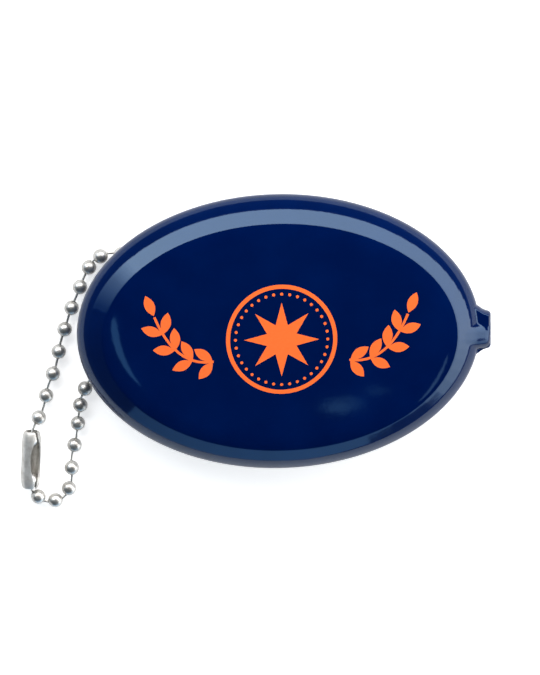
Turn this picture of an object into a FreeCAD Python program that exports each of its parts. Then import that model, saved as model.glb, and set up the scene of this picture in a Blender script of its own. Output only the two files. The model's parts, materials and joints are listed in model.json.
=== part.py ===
"""Squeeze coin purse: a domed vinyl shell with a slit back, and a ball chain threaded through two holes.

The purse lies on its back. X runs along the oval, from the chain end to the neck tab, Y across it and Z up.
The origin is on the resting face, under the middle of the oval. Lengths are millimetres, angles degrees.
"""

import FreeCAD
import Part
import math
import os

from FreeCAD import Vector

# Purse moulding, with the profile sizes measured across the short axis and slopes from the level
PURSE_LENGTH = 79.0
PURSE_WIDTH = 54.7
PURSE_THICKNESS = 14.6
WALL = 1.6
RIM_RADIUS = 3.0
RIM_SLOPE = 51.0
ROLL_RADIUS = 10.5
FLANK_SLOPE = 36.0
SHOULDER_RADIUS = 2.2
BROW_SLOPE = 21.0
BROW_RADIUS = 11.5
FACE_CROWN = 1.87
REST_FLAT_WIDTH = 18.0

# Neck tab, left where the mould's neck was trimmed
TAB_REACH = 2.15
TAB_WIDTH = 7.4
TAB_THICKNESS = 3.0
TAB_FLARE_RADIUS = 3.5
TAB_FLARE_SLOPE = 11.5
TAB_CORNER_RADIUS = 0.7
TAB_EDGE_RADIUS = 0.6
NECK_WIDTH = 4.2
NECK_HEIGHT = 5.6
NECK_ROOT = 5.0

# Slit back, with the mouth set in from the edge of the oval
MOUTH_MARGIN = 8.35
LIP_GAP = 0.12
SLIT_GAP = 0.4

# Chain holes in the back, near the end of the oval
CHAIN_HOLE_RADIUS = 1.75
CHAIN_HOLE_DEPTH = 3.6

# Ball chain
BEAD_DIAMETER = 2.9
BEAD_WALL = 0.22
BEAD_HOLE_RADIUS = 0.38
LINK_WIRE_RADIUS = 0.24
LINK_HEAD_RADIUS = 0.43
LINK_HEAD_DEPTH = 0.84

# Chain connector, a rolled barrel with its seam open
CONNECTOR_LENGTH = 11.5
CONNECTOR_SEAT = 1.65
CONNECTOR_WALL = 0.3
CONNECTOR_CLEARANCE = 0.14
CONNECTOR_MOUTH_RADIUS = 1.1
CONNECTOR_TAPER = 2.2
CONNECTOR_SEAM = 0.6
CONNECTOR_SEAM_TURN = 38.0
CONNECTOR_WINDOW_LENGTH = 9.2
CONNECTOR_WINDOW_WIDTH = 2.6

# Sizes that follow from those above
HALF_WIDTH = PURSE_WIDTH / 2
HALF_LENGTH = PURSE_LENGTH / 2
MID_Z = PURSE_THICKNESS / 2
BEAD_RADIUS = BEAD_DIAMETER / 2
BEAD_INNER_RADIUS = BEAD_RADIUS - BEAD_WALL
HOLE_OUTER_EDGE = math.sqrt(BEAD_RADIUS ** 2 - BEAD_HOLE_RADIUS ** 2)
HOLE_INNER_EDGE = math.sqrt(BEAD_INNER_RADIUS ** 2 - BEAD_HOLE_RADIUS ** 2)
# A link turns in the middle of the wall of a bead's hole.
BEAD_PIVOT = (HOLE_OUTER_EDGE + HOLE_INNER_EDGE) / 2
CONNECTOR_BORE_RADIUS = BEAD_RADIUS + CONNECTOR_CLEARANCE
CONNECTOR_RADIUS = CONNECTOR_BORE_RADIUS + CONNECTOR_WALL

# The chain as it lies, bead by bead: from the connector to the oval's edge, through the back, and on to
# the connector. Free beads: X from the chain end of the oval, Y, and the height of the bead's underside.
CHAIN_OUT = [
    (-9.05, -22.0, 0.45), (-7.6, -17.7, 0.0), (-6.1, -13.3, 0.0), (-4.7, -8.9, 0.0), (-3.5, -4.45, 0.0),
    (-2.3, 0.0, 0.0), (-0.9, 4.25, 0.0), (0.8, 8.4, 0.0), (2.6, 12.3, 0.0),
]
CHAIN_RETURN = [
    (1.6, -12.0, 0.0), (0.6, -15.3, 0.0), (0.1, -19.0, 0.0), (-0.6, -23.4, 0.0), (-1.2, -28.0, 0.0),
    (-1.8, -32.2, 0.0), (-4.5, -34.6, 0.0), (-7.9, -33.8, 0.0), (-9.4, -30.2, 0.45),
]
# Threaded beads: how far in from the edge of the oval, angle round it from the chain end, and the height of
# the bead's underside over the table, or over the inside of the back for those in the coin space.
CHAIN_ENTRY = [(-1.34, 25.4, 0.0), (-0.84, 30.9, 0.0), (1.82, 35.7, 0.45)]
CHAIN_INSIDE = [
    (5.5, 36.6, 0.22), (9.94, 35.1, 0.95), (13.53, 26.2, 0.9), (14.72, 10.0, 0.9), (12.79, -5.1, 0.84),
    (9.06, -12.6, 0.9), (5.08, -16.7, -0.08),
]
CHAIN_EXIT = [(1.39, -20.0, 0.45), (-2.02, -24.1, 0.0)]
# Turns tried to settle the beads' axes, and how much more a steep lean of a link counts than a slight one
SETTLE_STEPS = (8.0, 4.0, 2.0, 1.0, 0.5)
SETTLE_SWEEPS = 12
LEAN_POWER = 6
# Rings that shape each curved band of the oval
BAND_RINGS = 5


def polar(centre, radius, slope):
    """The point of a profile arc where the surface has this slope, in degrees below level."""
    turn = math.radians(slope)
    return centre + Vector(radius * math.sin(turn), 0, radius * math.cos(turn))


def arc(centre, radius, start, end):
    """A profile arc between two slopes."""
    points = [polar(centre, radius, slope) for slope in (start, (start + end) / 2, end)]
    return Part.Arc(*points).toShape()


def line(start, end):
    """A straight edge between two points."""
    return Part.LineSegment(start, end).toShape()


def dome_arcs(inset):
    """Arcs of the domed front from the rim's tip to the middle of the face, moved inwards by inset.

    Each is a centre, a radius and the slopes it runs between. The straight flank lies between the roll and
    the shoulder, and every other arc is tangent to the next.
    """
    rim = Vector(HALF_WIDTH - RIM_RADIUS, 0, 0)
    roll = polar(rim, RIM_RADIUS - ROLL_RADIUS, RIM_SLOPE)
    flank_foot = polar(roll, ROLL_RADIUS, FLANK_SLOPE)
    # The flank climbs to where the shoulder and the crowned face make up the rest of the height.
    bend = polar(Vector(), SHOULDER_RADIUS, BROW_SLOPE) - polar(Vector(), SHOULDER_RADIUS, FLANK_SLOPE)
    climb = MID_Z - FACE_CROWN - bend.z - flank_foot.z
    flank_top = flank_foot + Vector(-climb / math.tan(math.radians(FLANK_SLOPE)), 0, climb)
    shoulder = polar(flank_top, -SHOULDER_RADIUS, FLANK_SLOPE)
    brow = polar(shoulder, SHOULDER_RADIUS - BROW_RADIUS, BROW_SLOPE)
    # The face arc is centred on the axis and is tangent to the brow's arc from outside it.
    rise = MID_Z - brow.z - BROW_RADIUS
    face_radius = (brow.x ** 2 + rise ** 2) / (2 * rise) + BROW_RADIUS
    face = Vector(0, 0, MID_Z - face_radius)
    face_slope = math.degrees(math.atan2(brow.x, brow.z - face.z))
    return [
        (rim, RIM_RADIUS - inset, 90, RIM_SLOPE),
        (roll, ROLL_RADIUS - inset, RIM_SLOPE, FLANK_SLOPE),
        (shoulder, SHOULDER_RADIUS - inset, FLANK_SLOPE, BROW_SLOPE),
        (brow, BROW_RADIUS - inset, BROW_SLOPE, face_slope),
        (face, face_radius - inset, face_slope, 0),
    ]


def oval(point):
    """Ring round the oval through a profile point: the outline drawn in equally on both axes."""
    length = point.x + HALF_LENGTH - HALF_WIDTH
    return Part.Wire(Part.Ellipse(Vector(0, 0, point.z), length, point.x).toShape())


def oval_band(centre, radius, start, end):
    """Face that carries one profile arc round the oval."""
    rings = []
    for step in range(BAND_RINGS):
        slope = start + (end - start) * step / (BAND_RINGS - 1)
        rings.append(oval(polar(centre, radius, slope)))
    return Part.makeLoft(rings, False, False).Faces


def oval_solid(inset):
    """Solid of the domed front and its mirrored back: bands round the oval, closed by the crowned faces."""
    rim, roll, shoulder, brow, face = dome_arcs(inset)
    faces = oval_band(*rim) + oval_band(*roll) + oval_band(*shoulder)
    flank = [oval(polar(roll[0], roll[1], FLANK_SLOPE)), oval(polar(shoulder[0], shoulder[1], FLANK_SLOPE))]
    faces += Part.makeLoft(flank, False, True).Faces
    crown = Part.Wire([arc(*brow), arc(*face)]).revolve(Vector(), Vector(0, 0, 1), 360)
    edge_width = polar(brow[0], brow[1], BROW_SLOPE).x
    stretch = FreeCAD.Matrix()
    stretch.scale((edge_width + HALF_LENGTH - HALF_WIDTH) / edge_width, 1, 1)
    faces += crown.transformGeometry(stretch).Faces
    faces += [front.mirror(Vector(), Vector(0, 0, 1)) for front in faces]
    shell = Part.makeShell(faces)
    shell.sewShape()
    solid = Part.makeSolid(shell)
    if solid.Volume < 0:
        solid.reverse()
    solid.translate(Vector(0, 0, MID_Z))
    return solid


def oval_prism(margin, bottom, top):
    """Upright prism whose outline is the oval, drawn in by a margin."""
    ring = oval(Vector(HALF_WIDTH - margin, 0, bottom))
    return Part.Face(ring).extrude(Vector(0, 0, top - bottom))


def slab_below():
    """Block under the flat that the purse rests on."""
    flat_drop = rest_flat_drop()
    return Part.makeBox(PURSE_LENGTH, PURSE_WIDTH, PURSE_THICKNESS,
                        Vector(-HALF_LENGTH, -HALF_WIDTH, flat_drop - PURSE_THICKNESS))


def rest_flat_drop():
    """How far the back's crown is cut away to leave the resting flat."""
    radius = dome_arcs(0)[-1][1]
    return radius - math.sqrt(radius ** 2 - (REST_FLAT_WIDTH / 2) ** 2)


def turned(angle, side):
    """Direction in the middle plane, turned from across the purse on one side towards the tab."""
    turn = math.radians(angle)
    return Vector(math.sin(turn), side * math.cos(turn), 0)


def neck_tab():
    """The trimmed neck: a tab with flared roots, and the neck's own rounded ridge along it."""
    end_x = HALF_LENGTH + TAB_REACH
    slope = math.radians(TAB_FLARE_SLOPE)
    # The flare runs straight on into the corner, where the tab has its width.
    corner_x = end_x - TAB_CORNER_RADIUS
    end_half = TAB_WIDTH / 2 - TAB_CORNER_RADIUS * math.cos(slope)
    flare_x = corner_x + (TAB_CORNER_RADIUS + TAB_FLARE_RADIUS) * math.sin(slope)
    root_half = TAB_WIDTH / 2 + TAB_FLARE_RADIUS * math.cos(slope)
    root_x = flare_x - TAB_FLARE_RADIUS - RIM_RADIUS / 2
    turns = (90, (90 + TAB_FLARE_SLOPE) / 2, TAB_FLARE_SLOPE)
    edges = []
    for side in (1, -1):
        flare = Vector(flare_x, side * root_half, 0)
        flared = [flare - turned(turn, side) * TAB_FLARE_RADIUS for turn in turns]
        corner = Vector(corner_x, side * end_half, 0)
        rounded = [corner + turned(turn, side) * TAB_CORNER_RADIUS for turn in turns[::-1]]
        edges.append(line(Vector(root_x, side * root_half, 0), flared[0]))
        edges.append(Part.Arc(*flared).toShape())
        edges.append(Part.Arc(*rounded).toShape())
    edges.append(line(Vector(end_x, end_half, 0), Vector(end_x, -end_half, 0)))
    edges.append(line(Vector(root_x, root_half, 0), Vector(root_x, -root_half, 0)))
    outline = Part.Face(Part.Wire(Part.__sortEdges__(edges)))
    outline.translate(Vector(0, 0, MID_Z - TAB_THICKNESS / 2))
    tab = outline.extrude(Vector(0, 0, TAB_THICKNESS))
    rims = [edge for edge in tab.Edges if edge.BoundBox.ZLength < TAB_EDGE_RADIUS
            and edge.BoundBox.XMax > root_x + TAB_EDGE_RADIUS]
    tab = tab.makeFillet(TAB_EDGE_RADIUS, rims)
    ridge = Part.Ellipse(Vector(), NECK_HEIGHT / 2, NECK_WIDTH / 2).toShape()
    ridge.rotate(Vector(), Vector(0, 1, 0), 90)
    ridge.translate(Vector(end_x - NECK_ROOT - TAB_REACH, 0, MID_Z))
    neck = Part.Face(Part.Wire(ridge)).extrude(Vector(NECK_ROOT + TAB_REACH, 0, 0))
    return tab.fuse(neck)


def unit(vector):
    """The same direction at length one."""
    return vector / vector.Length


def back_height(width):
    """Height of the inside of the back over the table, at this half width of the oval."""
    rim, roll, shoulder, brow, face = dome_arcs(WALL)
    flank_top = polar(shoulder[0], shoulder[1], FLANK_SLOPE)
    height = flank_top.z - (width - flank_top.x) * math.tan(math.radians(FLANK_SLOPE))
    for centre, radius, start, end in (shoulder, brow, face):
        if polar(centre, radius, end).x <= width <= polar(centre, radius, start).x:
            height = centre.z + math.sqrt(radius ** 2 - (width - centre.x) ** 2)
    return MID_Z - rest_flat_drop() - height


def threaded_bead(inset, angle, height):
    """Centre of a bead placed by the oval: in from its edge, round it from the chain end, and up."""
    turn = math.radians(angle)
    x = -(HALF_LENGTH - inset) * math.cos(turn)
    y = (HALF_WIDTH - inset) * math.sin(turn)
    return Vector(x, y, height + BEAD_RADIUS)


def free_strand(laid, rim_bead, end_shift):
    """Centres of a strand's beads as laid, eased over from the connector to the bead at the rim."""
    centres = [Vector(x - HALF_LENGTH, y, z + BEAD_RADIUS) for x, y, z in laid]
    last = len(centres) - 1
    shift = rim_bead - centres[last]
    for index in range(last + 1):
        share = index / last
        centres[index] += shift * share + end_shift * (1 - share)
    return centres


def bead_centres():
    """Where each bead of the chain lies."""
    entry = [threaded_bead(*bead) for bead in CHAIN_ENTRY]
    inside = [threaded_bead(inset, angle, lift + back_height(HALF_WIDTH - inset))
              for inset, angle, lift in CHAIN_INSIDE]
    exit_beads = [threaded_bead(*bead) for bead in CHAIN_EXIT]
    out = free_strand(CHAIN_OUT, entry[0], Vector())
    # The far end of the loop goes where the connector's length puts its second end bead.
    laid_end = Vector(*CHAIN_RETURN[-1]) - Vector(*CHAIN_OUT[0])
    stretch = unit(laid_end) * (CONNECTOR_LENGTH - 2 * CONNECTOR_SEAT) - laid_end
    back = free_strand(CHAIN_RETURN[::-1], exit_beads[-1], stretch)[::-1]
    return out + entry[1:] + inside + exit_beads[:-1] + back


def link_direction(centres, axes, index):
    """Direction of a link between the facing holes of two neighbouring beads."""
    start = centres[index] + axes[index] * BEAD_PIVOT
    return unit(centres[index + 1] - axes[index + 1] * BEAD_PIVOT - start)


def bead_strain(centres, axes, index):
    """How hard the links beside a bead lean in their holes; a steep lean counts most."""
    total = 0
    for link in (index - 1, index):
        along = link_direction(centres, axes, link)
        for bead in (link, link + 1):
            total += axes[bead].getAngle(along) ** LEAN_POWER
    return total


def bead_axes(centres):
    """Axis of each bead, settled so that no link leans hard in a hole."""
    last = len(centres) - 1
    barrel = unit(centres[0] - centres[last])
    axes = [barrel]
    for index in range(1, last):
        axes.append(unit(centres[index + 1] - centres[index - 1]))
    axes.append(barrel)
    for step in SETTLE_STEPS:
        for sweep in range(SETTLE_SWEEPS):
            for index in range(1, last):
                settle_bead(centres, axes, index, math.tan(math.radians(step)))
    return axes


def settle_bead(centres, axes, index, step):
    """Turns one bead a step up, down or sideways where that eases its links."""
    side = unit(axes[index].cross(Vector(0, 0, 1)))
    rise = side.cross(axes[index])
    best = bead_strain(centres, axes, index)
    start = axes[index]
    for move in (side, -side, rise, -rise):
        trial = list(axes)
        trial[index] = unit(start + move * step)
        strain = bead_strain(centres, trial, index)
        if strain < best:
            best = strain
            axes[index] = trial[index]


def bead(centre, axis):
    """Hollow bead with a hole at each pole."""
    edges = []
    for radius, edge in ((BEAD_RADIUS, HOLE_OUTER_EDGE), (BEAD_INNER_RADIUS, HOLE_INNER_EDGE)):
        ends = [Vector(BEAD_HOLE_RADIUS, 0, side * edge) for side in (-1, 1)]
        edges.append(Part.Arc(ends[0], Vector(radius, 0, 0), ends[1]).toShape())
    for side in (-1, 1):
        rim = Vector(BEAD_HOLE_RADIUS, 0, side * HOLE_OUTER_EDGE)
        edges.append(line(rim, Vector(BEAD_HOLE_RADIUS, 0, side * HOLE_INNER_EDGE)))
    profile = Part.Face(Part.Wire(Part.__sortEdges__(edges)))
    shell = profile.revolve(Vector(), Vector(0, 0, 1), 360)
    shell.Placement = FreeCAD.Placement(centre, FreeCAD.Rotation(Vector(0, 0, 1), axis))
    return shell


def link(start, end):
    """Wire link from bead hole to bead hole, with a round head inside each bead."""
    head = (end - start).Length / 2 + LINK_HEAD_DEPTH
    neck = head - math.sqrt(LINK_HEAD_RADIUS ** 2 - LINK_WIRE_RADIUS ** 2)
    edges = [line(Vector(LINK_WIRE_RADIUS, 0, -neck), Vector(LINK_WIRE_RADIUS, 0, neck))]
    tips = []
    for side in (-1, 1):
        tip = Vector(0, 0, side * (head + LINK_HEAD_RADIUS))
        girth = Vector(LINK_HEAD_RADIUS, 0, side * head)
        edges.append(Part.Arc(Vector(LINK_WIRE_RADIUS, 0, side * neck), girth, tip).toShape())
        tips.append(tip)
    edges.append(line(*tips))
    profile = Part.Face(Part.Wire(Part.__sortEdges__(edges)))
    wire = profile.revolve(Vector(), Vector(0, 0, 1), 360)
    wire.Placement = FreeCAD.Placement((start + end) / 2, FreeCAD.Rotation(Vector(0, 0, 1), end - start))
    return wire


def connector_side():
    """Profile edges of the connector's bore: straight in the middle, drawn in by an arc at both ends."""
    straight = CONNECTOR_LENGTH / 2 - CONNECTOR_TAPER
    draw = CONNECTOR_BORE_RADIUS - CONNECTOR_MOUTH_RADIUS
    radius = (draw ** 2 + CONNECTOR_TAPER ** 2) / (2 * draw)
    sweep = math.asin(CONNECTOR_TAPER / radius)
    edges = [line(Vector(CONNECTOR_BORE_RADIUS, 0, -straight), Vector(CONNECTOR_BORE_RADIUS, 0, straight))]
    for side in (1, -1):
        centre = Vector(CONNECTOR_BORE_RADIUS - radius, 0, side * straight)
        points = []
        for turn in (0, sweep / 2, sweep):
            points.append(centre + Vector(math.cos(turn), 0, side * math.sin(turn)) * radius)
        edges.append(Part.Arc(*points).toShape())
    return edges


def connector(first, last):
    """Rolled barrel round the two end beads: drawn-in ends, and a seam that opens wide to snap them in."""
    along = unit(last - first)
    half = CONNECTOR_LENGTH / 2
    thickness = Vector(CONNECTOR_WALL, 0, 0)
    inside = connector_side()
    outside = [edge.translated(thickness) for edge in inside]
    ends = []
    for z in (-half, half):
        mouth = Vector(CONNECTOR_MOUTH_RADIUS, 0, z)
        ends.append(line(mouth, mouth + thickness))
    profile = Part.Face(Part.Wire(Part.__sortEdges__(inside + outside + ends)))
    barrel = profile.revolve(Vector(), Vector(0, 0, 1), 360)
    reach = 2 * CONNECTOR_RADIUS
    seam = Part.makeBox(reach, CONNECTOR_SEAM, CONNECTOR_LENGTH, Vector(0, -CONNECTOR_SEAM / 2, -half))
    tips = [Vector(0, 0, side * CONNECTOR_WINDOW_LENGTH / 2) for side in (-1, 1)]
    edges = []
    for side in (-1, 1):
        bulge = Vector(0, side * CONNECTOR_WINDOW_WIDTH / 2, 0)
        edges.append(Part.Arc(tips[0], bulge, tips[1]).toShape())
    window = Part.Face(Part.Wire(Part.__sortEdges__(edges))).extrude(Vector(reach, 0, 0))
    barrel = barrel.cut(seam.fuse(window))
    # The seam faces up and a little towards the purse.
    turn = math.radians(CONNECTOR_SEAM_TURN)
    upward = Vector(math.sin(turn), 0, math.cos(turn))
    out = unit(upward - along * upward.dot(along))
    pose = FreeCAD.Rotation(out, along.cross(out), along, "ZXY")
    barrel.Placement = FreeCAD.Placement((first + last) / 2, pose)
    return barrel


def chain():
    """Every bead and link of the chain, and its connector."""
    centres = bead_centres()
    axes = bead_axes(centres)
    nodes = {}
    for index, centre in enumerate(centres):
        nodes["bead_%02d" % (index + 1)] = bead(centre, axes[index])
    lean = 0
    for index in range(len(centres) - 1):
        start = centres[index] + axes[index] * BEAD_PIVOT
        end = centres[index + 1] - axes[index + 1] * BEAD_PIVOT
        nodes["link_%02d" % (index + 1)] = link(start, end)
        for side in (index, index + 1):
            lean = max(lean, math.degrees(axes[side].getAngle(end - start)))
    print("steepest lean of a link in its hole: %.1f degrees" % lean)
    nodes["connector"] = connector(centres[0], centres[-1])
    return nodes


def chain_holes():
    """Round holes through the back for the two links that carry the chain inside."""
    centres = bead_centres()
    first_inside = len(CHAIN_OUT) + len(CHAIN_ENTRY) - 1
    holes = []
    for index in (first_inside - 1, first_inside + len(CHAIN_INSIDE) - 1):
        low, high = sorted((centres[index], centres[index + 1]), key=lambda point: point.z)
        along = unit(high - low)
        holes.append(Part.makeCylinder(CHAIN_HOLE_RADIUS, CHAIN_HOLE_DEPTH + BEAD_RADIUS, low, along))
    return holes


def purse():
    """The shell with its rim and neck tab, and the two lips of the slit back."""
    outer = oval_solid(0).fuse(neck_tab())
    walls = outer.cut(oval_solid(WALL))
    drop = rest_flat_drop()
    walls = walls.cut(slab_below())
    shell = walls.cut(oval_prism(MOUTH_MARGIN, -drop, MID_Z))
    shell.translate(Vector(0, 0, -drop))
    shell = shell.cut(chain_holes())
    back = walls.common(oval_prism(MOUTH_MARGIN + LIP_GAP, -drop, MID_Z))
    slit = Part.makeBox(PURSE_LENGTH, SLIT_GAP, MID_Z, Vector(-HALF_LENGTH, -SLIT_GAP / 2, -drop))
    lips = back.cut(slit)
    lips.translate(Vector(0, 0, -drop))
    lips = sorted(lips.Solids, key=lambda solid: solid.CenterOfMass.y)
    return {"purse_shell": shell, "lower_lip": lips[0], "upper_lip": lips[-1]}


def main():
    os.makedirs("parts", exist_ok=True)
    nodes = purse()
    nodes.update(chain())
    for name, shape in nodes.items():
        shape.exportStep(os.path.join("parts", name + ".step"))
        print(name, len(shape.Solids), "%.2f" % shape.Volume, shape.isValid())


main()
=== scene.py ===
import json
import math

import bmesh
import bpy
import numpy as np
from mathutils import Matrix, Quaternion, Vector


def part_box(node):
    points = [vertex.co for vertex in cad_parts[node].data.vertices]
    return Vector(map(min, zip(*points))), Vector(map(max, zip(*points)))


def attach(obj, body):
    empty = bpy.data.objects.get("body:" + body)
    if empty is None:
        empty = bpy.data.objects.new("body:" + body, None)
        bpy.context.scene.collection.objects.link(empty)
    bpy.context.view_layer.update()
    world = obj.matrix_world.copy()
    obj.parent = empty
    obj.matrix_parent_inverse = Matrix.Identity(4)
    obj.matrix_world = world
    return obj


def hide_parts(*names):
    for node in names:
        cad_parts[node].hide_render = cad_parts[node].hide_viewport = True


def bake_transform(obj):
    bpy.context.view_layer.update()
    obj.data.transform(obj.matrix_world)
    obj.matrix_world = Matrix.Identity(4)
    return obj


mm = 0.001

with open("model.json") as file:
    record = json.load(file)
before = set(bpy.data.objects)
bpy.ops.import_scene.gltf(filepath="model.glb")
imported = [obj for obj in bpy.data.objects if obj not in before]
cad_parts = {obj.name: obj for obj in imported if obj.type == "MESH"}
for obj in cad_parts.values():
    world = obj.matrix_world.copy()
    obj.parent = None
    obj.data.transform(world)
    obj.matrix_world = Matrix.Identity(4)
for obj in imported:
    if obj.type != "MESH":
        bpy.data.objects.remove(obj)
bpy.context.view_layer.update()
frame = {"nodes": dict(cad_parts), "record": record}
print("frame loaded:", len(frame["nodes"]), "nodes")


def linear(hexColour):
    # sRGB hex to the linear colour that a shader takes
    parts = [int(hexColour[i:i + 2], 16) / 255 for i in (1, 3, 5)]
    return [c / 12.92 if c <= 0.04045 else ((c + 0.055) / 1.055) ** 2.4 for c in parts] + [1.0]


def addNode(tree, kind, inputs=None, links=None, **settings):
    # one node with its settings, its input values, and links given as input: (node, output)
    node = tree.nodes.new(kind)
    for name, value in settings.items():
        setattr(node, name, value)
    for name, value in (inputs or {}).items():
        node.inputs[name].default_value = value
    for name, (source, output) in (links or {}).items():
        tree.links.new(source.outputs[output], node.inputs[name])
    return node


def newMaterial(name):
    material = bpy.data.materials.new(name)
    material.use_nodes = True
    material.node_tree.nodes.clear()
    return material, material.node_tree


def meshPiece(name, points, faces, material, edges=()):
    mesh = bpy.data.meshes.new(name)
    mesh.from_pydata([tuple(p) for p in points], edges, faces)
    mesh.validate()
    mesh.polygons.foreach_set("use_smooth", [True] * len(mesh.polygons))
    mesh.materials.append(material)
    piece = bpy.data.objects.new(name, mesh)
    bpy.context.scene.collection.objects.link(piece)
    return piece


def bakeModifiers(piece):
    # what the piece's modifiers make, kept as its plain mesh
    bpy.context.view_layer.update()
    made = piece.evaluated_get(bpy.context.evaluated_depsgraph_get())
    mesh = bpy.data.meshes.new_from_object(made)
    piece.modifiers.clear()
    piece.data = mesh


def tidyMesh(piece):
    # doubles merged, faces turned outwards
    work = bmesh.new()
    work.from_mesh(piece.data)
    bmesh.ops.remove_doubles(work, verts=work.verts, dist=1e-7)
    bmesh.ops.recalc_face_normals(work, faces=work.faces)
    work.to_mesh(piece.data)
    work.free()


# Materials

vinylLook = dict(
    colour="#001140",
    highColour="#001547",
    gloss="#B8DEFF",    # the skin's reflections look bluish
    roughness=0.07, index=1.53,
    mottleSize=9.0,     # mm, slow change of colour from the dip
    mottleRange=(0.35, 0.75),
    peelSize=1.6,       # mm, the skin's orange peel
    peelHeight=0.006,   # mm
)


def dippedVinyl():
    # Plasticised PVC, dip-moulded: a wet-looking skin with a faint orange peel that softens reflections.
    look = vinylLook
    material, tree = newMaterial("dippedVinyl")
    coords = addNode(tree, "ShaderNodeTexCoord")
    mottle = addNode(tree, "ShaderNodeTexNoise", {"Scale": 1 / (look["mottleSize"] * mm), "Detail": 3.0},
                     {"Vector": (coords, "Object")})
    ramp = addNode(tree, "ShaderNodeValToRGB", links={"Fac": (mottle, "Fac")})
    for stop, place, hue in zip(ramp.color_ramp.elements, look["mottleRange"], ("colour", "highColour")):
        stop.position, stop.color = place, linear(look[hue])
    peel = addNode(tree, "ShaderNodeTexNoise", {"Scale": 1 / (look["peelSize"] * mm), "Detail": 2.0},
                   {"Vector": (coords, "Object")})
    bump = addNode(tree, "ShaderNodeBump", {"Strength": 1.0, "Distance": look["peelHeight"] * mm},
                   {"Height": (peel, "Fac")})
    shader = addNode(tree, "ShaderNodeBsdfPrincipled",
                     {"Roughness": look["roughness"], "IOR": look["index"],
                      "Specular Tint": linear(look["gloss"])},
                     {"Base Color": (ramp, "Color"), "Normal": (bump, "Normal")})
    addNode(tree, "ShaderNodeOutputMaterial", links={"Surface": (shader, 0)})
    return material


inkLook = dict(
    colour="#FF7436", edgeColour="#FA6A2C",
    roughness=0.32, index=1.5,
    grainSize=0.5, grainHeight=0.004,    # mm
)


def screenInk():
    # Screen-printed vinyl ink: an even, slightly satin film with the mesh's faint grain.
    look = inkLook
    material, tree = newMaterial("screenInk")
    coords = addNode(tree, "ShaderNodeTexCoord")
    grain = addNode(tree, "ShaderNodeTexNoise", {"Scale": 1 / (look["grainSize"] * mm), "Detail": 3.0},
                    {"Vector": (coords, "Object")})
    ramp = addNode(tree, "ShaderNodeValToRGB", links={"Fac": (grain, "Fac")})
    for stop, hue in zip(ramp.color_ramp.elements, ("edgeColour", "colour")):
        stop.color = linear(look[hue])
    bump = addNode(tree, "ShaderNodeBump", {"Strength": 1.0, "Distance": look["grainHeight"] * mm},
                   {"Height": (grain, "Fac")})
    shader = addNode(tree, "ShaderNodeBsdfPrincipled", {"Roughness": look["roughness"], "IOR": look["index"]},
                     {"Base Color": (ramp, "Color"), "Normal": (bump, "Normal")})
    addNode(tree, "ShaderNodeOutputMaterial", links={"Surface": (shader, 0)})
    return material


nickelLook = dict(colour="#DAD8D4", dullColour="#B8B4AE", roughness=0.4, metal=0.93)
stripLook = dict(colour="#E4E2DE", dullColour="#CAC6C0", roughness=0.52, metal=0.84)
tarnish = dict(size=1.4, range=(0.3, 0.6))    # mm


def nickelSteel(name, look):
    # Nickel-plated steel, slightly patchy: bright but soft on tumbled balls, paler and satin on rolled strip.
    material, tree = newMaterial(name)
    coords = addNode(tree, "ShaderNodeTexCoord")
    patch = addNode(tree, "ShaderNodeTexNoise", {"Scale": 1 / (tarnish["size"] * mm), "Detail": 4.0},
                    {"Vector": (coords, "Object")})
    ramp = addNode(tree, "ShaderNodeValToRGB", links={"Fac": (patch, "Fac")})
    for stop, place, hue in zip(ramp.color_ramp.elements, tarnish["range"], ("dullColour", "colour")):
        stop.position, stop.color = place, linear(look[hue])
    shader = addNode(tree, "ShaderNodeBsdfPrincipled",
                     {"Roughness": look["roughness"], "Metallic": look["metal"]},
                     {"Base Color": (ramp, "Color")})
    addNode(tree, "ShaderNodeOutputMaterial", links={"Surface": (shader, 0)})
    return material


vinyl = dippedVinyl()
ink = screenInk()
nickel = nickelSteel("tumbledNickel", nickelLook)
nickelStrip = nickelSteel("rolledNickel", stripLook)
print("materials made")


# Purse: one profile carried round the oval, with the neck tab drawn out of its rim

shellLow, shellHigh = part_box("purse_shell")
purse = dict(
    wall=1.6,
    rimRadius=3.0, rimSlope=51.0,            # round edge, slopes in degrees from the level
    rollRadius=10.5, flankSlope=36.0,
    shoulderRadius=2.2, browSlope=21.0,      # the crease between flank and face
    browRadius=11.5, crown=1.87,
    flatWidth=18.0,                          # where the back rests
    lipEdge=19.2,                            # where the back's moving skin meets the fixed ring
    core=23.5, coreMargin=0.8,               # half width from which the rim and the tab are drawn outwards
    coreClear=0.05,                          # kept free before the rim's first section
    halfLength=-shellLow.x / mm,
    halfWidth=shellHigh.y / mm,
    tabEnd=shellHigh.x / mm,
    tabZone=7.4, tabHalf=3.7, tabCorner=0.7, tabFlare=3.5, tabSlope=11.5,
    tabFade=1.5,                             # width over which the tab's flare runs into the rim
    tabGrown=0.5, tabSunk=0.45,              # the tab's root starts sunk in the rim, grown at this reach
    tabBlend=0.5, leastBlend=0.05,           # softness of the corner between tab and rim
    plateHalf=1.85, plateLow=0.6,            # the tab is thinner south of the trimmed neck's ridge
    plateStep=(-1.8, 0.2), plateSoft=0.2,
    ridgeAt=-0.8, ridgeHalf=1.4, ridgeEnd=1.55, ridgeFall=0.42, ridgeSides=0.9,
    ridgeInset=0.2, ridgeSoft=0.8, ridgeCorner=1.0, ridgeFoot=0.4,
    faceStep=0.75, rimRows=41, rimFine=12,   # fineness of the mesh, and of the rim that the tab is fitted to
    arcSteps=dict(brow=9, shoulder=9, roll=9, rim=12), pointGap=0.005,
    tabColumns=75, rightColumns=56, leftColumns=66, tabSamples=300,
    crease=40.0,                             # degrees from which an edge stays sharp
)
purse["spare"] = purse["halfLength"] - purse["halfWidth"]


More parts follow.
